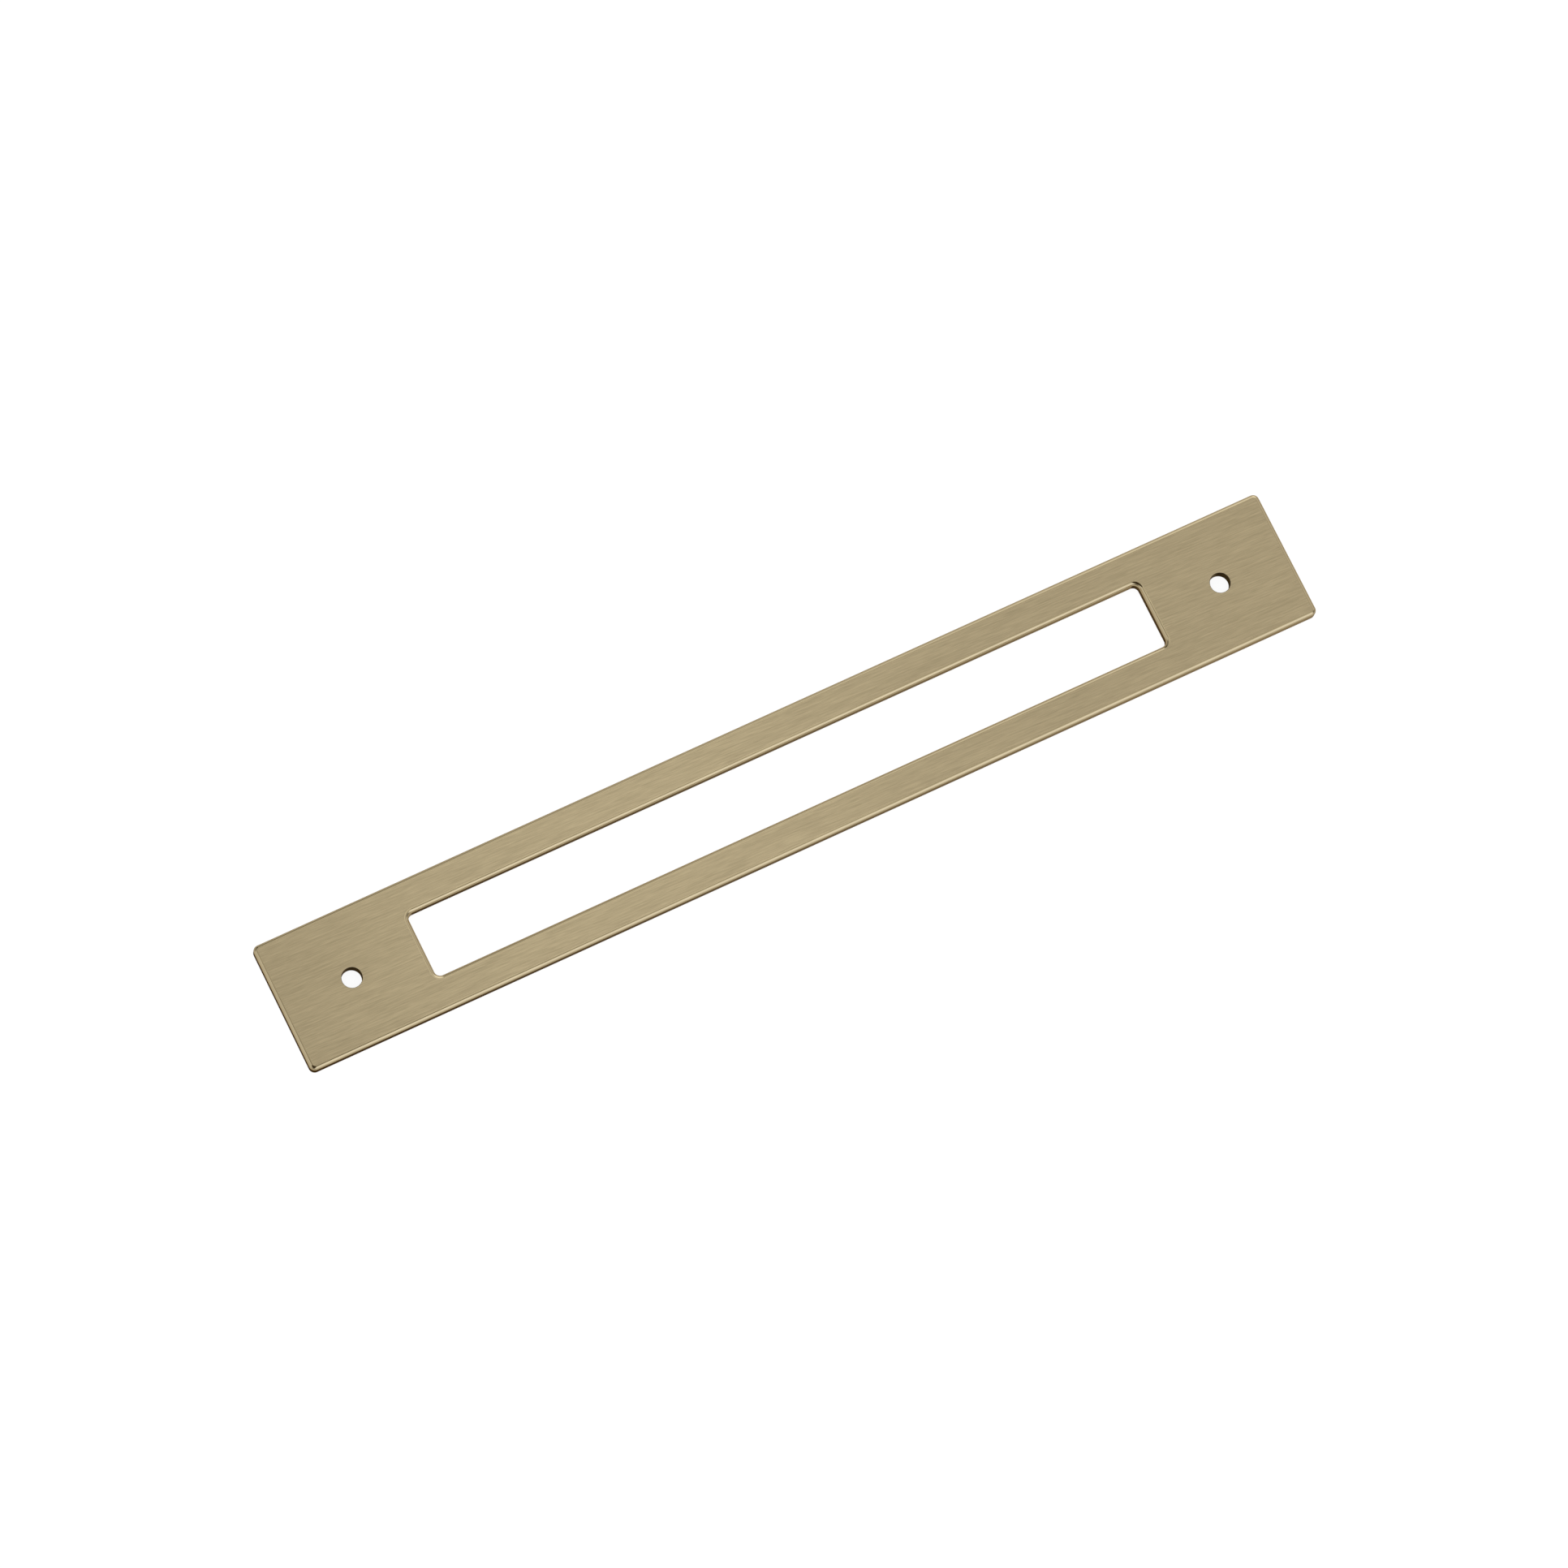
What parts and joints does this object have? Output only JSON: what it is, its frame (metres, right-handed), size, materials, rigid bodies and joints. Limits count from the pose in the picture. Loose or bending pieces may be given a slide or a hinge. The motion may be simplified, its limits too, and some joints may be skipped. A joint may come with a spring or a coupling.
{
  "type": "cabinet pull backplate",
  "caption": "Flat brushed brass backplate with a long rounded window and a plain screw hole near each end, clamped behind a bar pull by the pull's own screws.",
  "frame": {"origin": "centre of the back face, midway between the two screw holes", "axes": "+X along the plate's length and the line of the screw holes, +Y across its width, +Z out of the brushed front face"},
  "size_m": [0.2594, 0.0322, 0.003],
  "materials": {
    "brushed_brass": "satin, brushed lengthwise on the front face, smooth satin on the rounded edges"
  },
  "bodies": {
    "root": {"backplate": "brushed_brass"}
  },
  "joints": []
}
